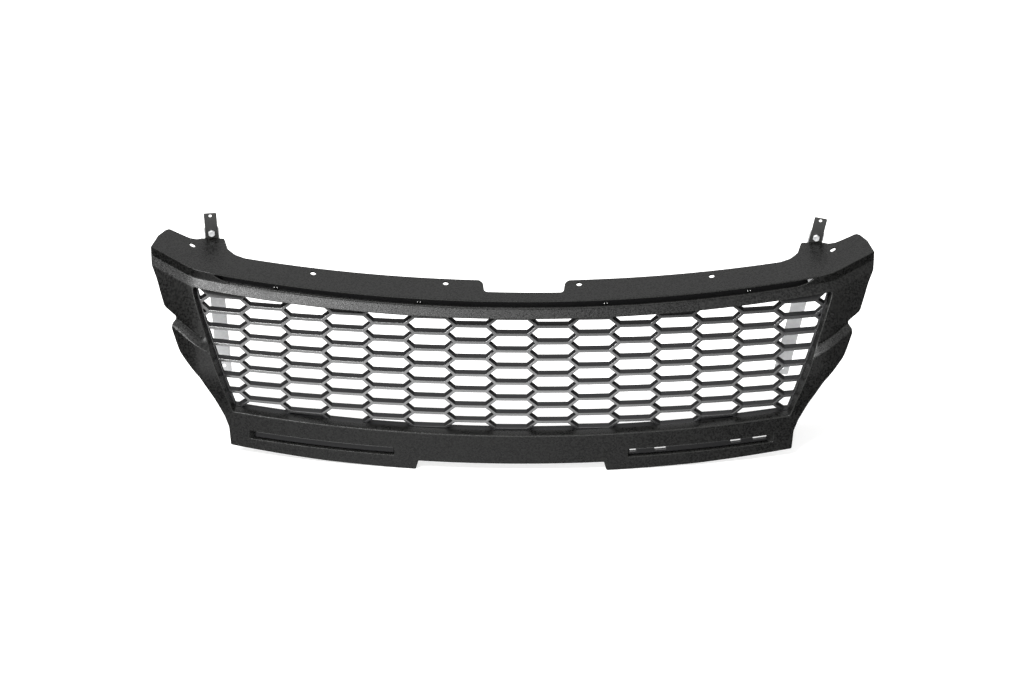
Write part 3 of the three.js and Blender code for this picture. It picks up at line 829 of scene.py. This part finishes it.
def buildInsert():
    # each cell's front edge is rounded by a 45 degree arc of the bar's edge radius, then runs straight back
    shell = Shell()
    surface = facing(insert["gap"])
    deep, t, e = insert["depth"], insert["plate"], insert["barEdge"]
    # the third number is the edge wear and painted highlight, full on the bars' rounded fronts
    steps = [(e, 0, 1), (e * 0.29, e * 0.29, 1), (0, e, 0.5), (0, e * 2, 0),
             (0, deep - 0.4, 0), (0.4, deep, 0)]
    cells = [shell.wall(surface, rim(loop, 1, steps)) for loop in cellLoops()]
    flange = shell.wall(surface, rim(flangeOutline(), -1, rimSteps(0.6, t)))
    bore = fixing["bore"] + fixing["clear"]
    holes = [shell.wall(surface, rim(circle(x, z, bore, 18), 1, rimSteps(0.3, t, 0.3, 0.3)))
             for x, z, d in insertSpots()]
    core = outline([(*p, 2) for p in windowCorners(insert["frame"])])
    foot, ridge = shell.wall(surface, [(core, t, 0), (core, deep - 0.5, 0), (grown(core, -0.5), deep, 0)])
    spread = np.stack([a.ravel() for a in np.meshgrid(columns(9), np.arange(50, 271, 8))], 1)
    shell.cap(surface, [flange[0]] + [a for a, b in holes + cells], spread, 0.0, 2.6)
    shell.cap(surface, [flange[1], foot] + [b for a, b in holes], spread, t)
    shell.cap(surface, [ridge] + [b for a, b in cells], None, deep)
    shell.finish("meshInsert", satin, "grille", ["mesh_insert"])


buildInsert()

# The blanking strips in the lower recesses: a plate behind the recess with a bar that fills it.
blank = dict(face=5.6, gap=1.8, top=2.6, rim=5, ear=22, round=2.4, windowRound=1.5, windowH=30,
             windows=((190, 200), (230, 248), (352, 368), (388, 410)))


def barTop(side):
    # the bar's upper edge, from its outer end inwards; the right-hand one is low at each window and stands
    # high between one window and the next
    (x0, x1), high, r = surround["pocketX"], surround["pocketH"][1] - blank["top"], blank["round"]
    if side < 0:
        return [(x1 - 1, high, r), (x0 + 1, high, r)]
    low, windows, small = blank["windowH"], blank["windows"], blank["windowRound"]
    points = [(x1 - 1, low, r)]
    for (a, b), (c, d) in reversed(list(zip(windows, windows[1:]))):
        points += [(c, low, small), (c, high, small), (b, high, small), (b, low, small)]
    return points + [(x0 + 1, low, r)]


def buildBlank(side, name):
    # the bar stands forward in the recess from its own plate, and the right-hand plate has windows
    shell = Shell()
    surface = facing(0)
    flip = (lambda loop: loop) if side > 0 else mirrored
    (x0, x1), (h0, h1), r = surround["pocketX"], surround["pocketH"], blank["round"]
    back, t, face = fixing["blankBack"], fixing["blankPlate"], blank["face"]
    foot = h0 + blank["gap"]
    bar = flip(outline([(x0 + 1, foot, r), (x1 - 1, foot, r)] + barTop(side)))
    # the third number is the edge wear and painted highlight, fullest on the bar's rounded front edge
    steps = [(1.0, face, 0), (0.6, face, 0.5), (0.2, face + 0.2, 1), (0, face + 0.7, 0.5),
             (0, back + 0.5, 0)]
    fore, aft = shell.wall(surface, rim(bar, -1, steps))
    grid = np.meshgrid(np.arange(-440, 441, 9.0), np.arange(20, 42, 5.0))
    spread = np.stack([a.ravel() for a in grid], 1)
    shell.cap(surface, [fore], spread, face, 1.5)
    shell.cap(surface, [aft], spread, back + 0.5, 1.5)
    left, right, low, high = x0 - blank["ear"], x1 + blank["ear"], h0 - blank["rim"], h1 + blank["rim"]
    edge = flip(outline([(left, low, 4), (right, low, 4), (right, high, 4), (left, high, 4)]))
    steps = [(e, d + back, w) for e, d, w in rimSteps(0.3, t, 0.3, 0.3)]
    rims = [shell.wall(surface, rim(edge, -1, steps))]
    for x, z, *rest in blankSpots(side):
        hole = circle(x, z - float(liftAt(x)), fixing["bore"] + fixing["clear"], 18)
        rims.append(shell.wall(surface, rim(hole, 1, steps)))
    sill = blank["windowH"]
    for a, b in blank["windows"] if side > 0 else ():
        slit = outline([(a, sill, 1), (b, sill, 1), (b, h1 + 1, 1), (a, h1 + 1, 1)])
        rims.append(shell.wall(surface, rim(slit, 1, steps)))
    shell.cap(surface, [a for a, b in rims], spread, back)
    shell.cap(surface, [b for a, b in rims], spread, back + t)
    shell.finish(f"blankStrip{name.title()}", satin, "grille", [f"blank_{name}"])


for side, name in ((-1, "left"), (1, "right")):
    buildBlank(side, name)

# Fasteners are turned about lines along Y.
metal = dict(screwShank=2, screwLength=14, blankScrewLength=8, screwPitch=1.6, screwThread=0.35,
             headHeight=2.6, recess=1.1, boltShank=3, boltPitch=1.0, boltThread=0.32, flats=5, boltHead=4,
             dish=0.25, nutHeight=5, nutHole=3.4, washer=(7, 0.8), pivotLength=18, tabLength=13, clear=0.3)


def turned(radii, ys, sides=30, flats=None, thread=None):
    # rings of radius r at each y; flats trims a ring to a hexagon of that half width, whose sides are that
    # over the cosine of the angle off their middles; thread is (first y, last y, pitch, depth): the radius
    # drops by depth times a triangle wave of y over pitch less the turn
    a = np.linspace(0, 2 * np.pi, sides, endpoint=False)[None, :]
    r = np.repeat(np.array(radii, float)[:, None], sides, 1)
    y = np.repeat(np.array(ys, float)[:, None], sides, 1)
    if flats:
        wedge = (a + np.pi / 6) % (np.pi / 3) - np.pi / 6
        r = np.minimum(r, flats / np.cos(wedge))
    if thread:
        first, last, pitch, depth = thread
        phase = (y / pitch - a / (2 * np.pi)) % 1
        r = r - depth * np.abs(2 * phase - 1) * ((y > first) & (y < last))
    return np.stack([r * np.cos(a), y, r * np.sin(a)], 2)


def addTurned(shell, rings, place, tip, top):
    # closes both ends with a point on the axis; place moves the finished rings
    ids = shell.tube([place(ring) for ring in rings])
    shell.fan(ids[0], place(np.array([[0, tip, 0]], float))[0])
    shell.fan(ids[-1], place(np.array([[0, top, 0]], float))[0])


def buildScrew(names, x, y, z, length):
    # pan head with a cross recess: the dome falls with the square of the radius, and two crossed slots
    # lower it where either distance from the centre lines is small
    r, h, shank = fixing["head"], metal["headHeight"], metal["screwShank"]
    ys = np.arange(0.4 - length, 0.01, 0.32)
    radii = np.where(ys < 2.4 - length, shank * (0.35 + 0.65 * (ys - ys[0]) / 2), shank)
    body = turned(np.append(radii, [r, r, r * 0.97]), np.append(ys, [0, 0.9, 1.3]), 32,
                  thread=(ys[0] - 1, -1.0, metal["screwPitch"], metal["screwThread"]))
    reach = np.array([0.9, 0.78, 0.62, 0.5, 0.4, 0.28, 0.14]) * r
    dome = turned(reach, h - 1.2 * (reach / r) ** 2, 32)
    cross = np.minimum(np.abs(dome[..., 0]), np.abs(dome[..., 2]))
    far = np.maximum(np.abs(dome[..., 0]), np.abs(dome[..., 2]))
    dome[..., 1] -= metal["recess"] * softStep((0.75 - cross) / 0.3) * softStep((2.5 - far) / 0.4)
    shell = Shell()
    place = lambda points: points + [x, y, z]
    addTurned(shell, np.concatenate([body, dome]), place, -length, h - metal["recess"])
    shell.finish(names[0], coated, "grille", [names[1]], 50)


for i, spot in enumerate(insertSpots()):
    x, z, y0, y1, seat = insertBoss(*spot)
    buildScrew((f"insertScrew{i + 1}", f"insert_screw_{i + 1}"), x, seat + metal["clear"], z,
               metal["screwLength"])
for side, name in ((-1, "left"), (1, "right")):
    for end, (x, z, y0, y1, seat) in zip(("inner", "outer"), blankSpots(side)):
        buildScrew((f"blankScrew{name.title()}{end.title()}", f"blank_screw_{name}_{end}"),
                   x, seat + metal["clear"], z, metal["blankScrewLength"])


def boltRings(length):
    # chamfered point, threaded shank, small fillet and a hexagon head with its corners turned off
    thread = (-length, -2.5, metal["boltPitch"], metal["boltThread"])
    ys = np.arange(-length + 0.8, 0.0, 0.25)
    radii = np.append([metal["boltShank"] - 0.7], np.full(len(ys), metal["boltShank"]))
    shank = turned(radii, np.append([-length + 0.1], ys), 36, thread=thread)
    s, h = metal["flats"], metal["boltHead"]
    head = turned([s * 0.98, s * 1.12, s * 1.16, s * 1.16, s * 1.06, s * 0.96, s * 0.9, s * 0.5],
                  [0, 0.15, 0.4, h - 0.9, h - 0.4, h - 0.1, h, h - metal["dish"]], 36, flats=s)
    head[0] = turned([s * 0.95], [0], 36)[0]
    return np.concatenate([shank, head])


def addRing(shell, place, inner, outer, half, flats=None):
    # a closed ring: its section runs round the bore and the outside, with small chamfers
    c = 0.5
    radii = [inner + c, inner, inner, inner + c, outer * 0.9, outer, outer, outer * 0.9]
    ys = [-half, -half + c, half - c, half, half, half - c * 1.2, -half + c * 1.2, -half]
    if half < 1:
        radii = [inner + 0.2, inner, inner, inner + 0.2, outer - 0.3, outer, outer, outer - 0.3]
        ys = [-half, -half + 0.2, half - 0.2, half, half, half - 0.3, -half + 0.3, -half]
    shell.tube([place(ring) for ring in turned(radii, ys, 36, flats)], closed=True)


# Stays: z runs up the strap from its pivot, and lean is the angle at rest about +Y.
stay = dict(x=lug["x"], z=lug["z"], y=220.3, width=24, thick=2, up=40, down=231, corner=4,
            lean=dict(left=-4.5, right=12), endHole=3.6, endIn=12, boltHole=3.4, boltZ=30)
tab = dict(width=20.5, z0=11, z1=66, y=218, corner=2, hole=2.6, holeZ=61)


def leaning(side, angle):
    # turns points about +Y through the pivot: x cos + z sin, and z cos - x sin
    c, s = math.cos(math.radians(angle)), math.sin(math.radians(angle))
    return lambda p: np.stack([side * stay["x"] + p[:, 0] * c + p[:, 2] * s, p[:, 1],
                               stay["z"] + p[:, 2] * c - p[:, 0] * s], 1)


def addPlate(shell, place, y, corners, holes):
    # a flat plate from y backwards, with holes at each z and radius on its centre line
    thick = stay["thick"]
    surface = lambda x, z, depth: place(upright(x, z, y + depth))
    steps = rimSteps(0.35, thick, 0.25, 0.5)
    rims = [shell.wall(surface, rim(outline(corners), -1, steps))]
    rims += [shell.wall(surface, rim(circle(0, z, r), 1, steps)) for z, r in holes]
    shell.cap(surface, [a for a, b in rims])
    shell.cap(surface, [b for a, b in rims], None, thick)


def strip(width, z0, z1, r):
    # a rectangle's corners, each with radius r
    return [(-width / 2, z0, r), (width / 2, z0, r), (width / 2, z1, r), (-width / 2, z1, r)]


def addBolt(shell, place, length):
    # closed by its point and by the bottom of the dish in its head
    addTurned(shell, boltRings(length), place, -length, metal["boltHead"] - metal["dish"])


def addNut(shell, place):
    # a ring trimmed to a hexagon, a little wider over its corners than over its flats
    addRing(shell, place, metal["nutHole"], metal["flats"] * 1.12, metal["nutHeight"] / 2, metal["flats"])


def buildStay(side, name):
    # the strap and tab swing with the bolt that joins them; the pivot's bolt, washer and nut stay still
    title, body = name.title(), f"stay_{name}"
    place = leaning(side, stay["lean"][name])
    boltHole = (stay["boltZ"], stay["boltHole"])
    head = stay["y"] + stay["thick"] + metal["clear"]
    half = metal["nutHeight"] / 2
    shell = Shell()
    addPlate(shell, place, stay["y"], strip(stay["width"], -stay["down"], stay["up"], stay["corner"]),
             [(0, stay["boltHole"]), boltHole, (stay["endIn"] - stay["down"], stay["endHole"])])
    shell.finish(f"stayStrap{title}", zinc, body, [f"stay_strap_{name}"])
    shell = Shell()
    addPlate(shell, place, tab["y"], strip(tab["width"], tab["z0"], tab["z1"], tab["corner"]),
             [boltHole, (tab["holeZ"], tab["hole"])])
    shell.finish(f"stayTab{title}", coated, body, [f"stay_tab_{name}"])

    still = lambda p: p + [side * stay["x"], 0, stay["z"]]
    shell = Shell()
    addBolt(shell, lambda p: still(p + [0, head, 0]), metal["pivotLength"])
    shell.finish(f"pivotBolt{title}", zinc, "grille", [f"pivot_bolt_{name}"])
    shell = Shell()
    between = (lug["y1"] + stay["y"]) / 2
    addRing(shell, lambda p: still(p + [0, between, 0]), metal["nutHole"], *metal["washer"])
    shell.finish(f"pivotWasher{title}", zinc, "grille", [f"pivot_washer_{name}"])
    shell = Shell()
    addNut(shell, lambda p: still(p + [0, lug["y0"] - metal["clear"] - half, 0]))
    shell.finish(f"pivotNut{title}", zinc, "grille", [f"pivot_nut_{name}"])

    shell = Shell()
    under = tab["y"] - metal["clear"]             # the tab's bolt goes in from the front: turned round
    addBolt(shell, lambda p: place(p * [-1, -1, 1] + [0, under, stay["boltZ"]]), metal["tabLength"])
    shell.finish(f"tabBolt{title}", zinc, body, [f"tab_bolt_{name}"])
    shell = Shell()
    addNut(shell, lambda p: place(p + [0, head + half, stay["boltZ"]]))
    shell.finish(f"tabNut{title}", zinc, body, [f"tab_nut_{name}"])


for side, name in ((-1, "left"), (1, "right")):
    buildStay(side, name)

# The studio: directions point from the object towards each light, in the object's own axes.
studio = dict(floorRadius=40, floorDrop=0.0006, floor=(0.6, 0.6, 0.595), floorGlow=0.55,
              keyFrom=(-0.38, -0.42, 0.82), keyAngle=26, key=5.6, fillFrom=(0.94, -0.3, 0.12), fillAngle=60,
              fill=0.2, sky=1.4, skyBack=0.6, skyLeft=0.3, wallAt=(-0.16, -0.98, -0.04), wall=4.2,
              under=0.35, least=0.07, backdrop=1.0)
view = dict(target=(0, -0.081, -0.0362), distance=30.0, elevation=30, roll=0.4, lens=659, film=36,
            farthest=100)


def buildFloor():
    # a wide level disc just under the lowest point of the object
    low = cadBox[0].z - studio["floorDrop"]
    loop = circle(0, 0, studio["floorRadius"], 48)
    points = [(x, y, low) for x, y in loop.tolist()]
    mesh = bpy.data.meshes.new("paleFloor")
    mesh.from_pydata(points, [], [list(range(len(points)))])
    look = Finish("palePaper", Roughness=0.85, Emission_Color=(1, 1, 1, 1),
                  Emission_Strength=studio["floorGlow"])
    lighter = tuple(c * 1.02 for c in studio["floor"])
    look.feed(Base_Color=look.blend(look.noise(3, 2), studio["floor"], lighter))
    mesh.materials.append(look.material)
    floor = bpy.data.objects.new("paleFloor", mesh)
    floor.visible_glossy = False                 # the wings would mirror it as a grey haze
    bpy.context.scene.collection.objects.link(floor)


def addSun(name, direction, strength, angle):
    # light from a disc of the given angle, far away in that direction
    data = bpy.data.lights.new(name, "SUN")
    data.energy, data.angle = strength, math.radians(angle)
    lamp = bpy.data.objects.new(name, data)
    lamp.rotation_euler = Vector(direction).to_track_quat("Z", "Y").to_euler()
    bpy.context.scene.collection.objects.link(lamp)


def buildSky():
    # soft light that grows with height, more of it behind and to the left; a broad pale wall low in front,
    # a little light from below and behind, and a plain pale backdrop that only the camera sees
    world = bpy.data.worlds.new("softRoom")
    world.use_nodes = True
    bpy.context.scene.world = world
    world.node_tree.nodes.clear()
    room = Graph(world.node_tree)
    way = room.node("ShaderNodeTexCoord", output="Generated")
    across, back, up = (room.node("ShaderNodeSeparateXYZ", inputs={0: way}, output=axis) for axis in "XYZ")
    ahead = room.node("ShaderNodeVectorMath", {"operation": "DOT_PRODUCT"},
                      {0: way, 1: studio["wallAt"]}, "Value")
    sky = room.smooth(up, 0.2, 0.75) * studio["sky"]
    sky = sky * (1 - across * studio["skyLeft"]) * (1 + back * studio["skyBack"])
    wall = room.smooth(ahead, 0.74, 0.98) * studio["wall"]
    under = room.smooth(0 - up, 0.1, 0.5) * room.smooth(back, -0.1, 0.5) * studio["under"]
    light = room.node("ShaderNodeBackground", inputs={"Strength": sky + wall + under + studio["least"]})
    plain = room.node("ShaderNodeBackground",
                      inputs={"Strength": studio["backdrop"], "Color": (1, 1, 1, 1)})
    seen = room.node("ShaderNodeLightPath", output="Is Camera Ray")
    mixed = room.node("ShaderNodeMixShader", inputs={0: seen, 1: light, 2: plain})
    out = world.node_tree.nodes.new("ShaderNodeOutputWorld")
    world.node_tree.links.new(mixed.socket, out.inputs[0])


def buildCamera():
    # looks at the target from straight ahead and above, turned a little about its own line of sight
    data = bpy.data.cameras.new("viewCamera")
    data.lens, data.sensor_width = view["lens"], view["film"]
    data.clip_end = view["farthest"]
    camera = bpy.data.objects.new("viewCamera", data)
    rise = math.radians(view["elevation"])
    away = Vector((0, -math.cos(rise), math.sin(rise)))
    camera.location = Vector(view["target"]) + away * view["distance"]
    roll = Quaternion((0, 0, 1), math.radians(view["roll"]))
    camera.rotation_euler = (away.to_track_quat("Z", "Y") @ roll).to_euler()
    bpy.context.scene.collection.objects.link(camera)
    bpy.context.scene.camera = camera


buildFloor()
addSun("keyLight", studio["keyFrom"], studio["key"], studio["keyAngle"])
addSun("sideFill", studio["fillFrom"], studio["fill"], studio["fillAngle"])
buildSky()
buildCamera()
bpy.context.scene.view_settings.view_transform = "Standard"
print("studio ready")

bpy.context.view_layer.update()
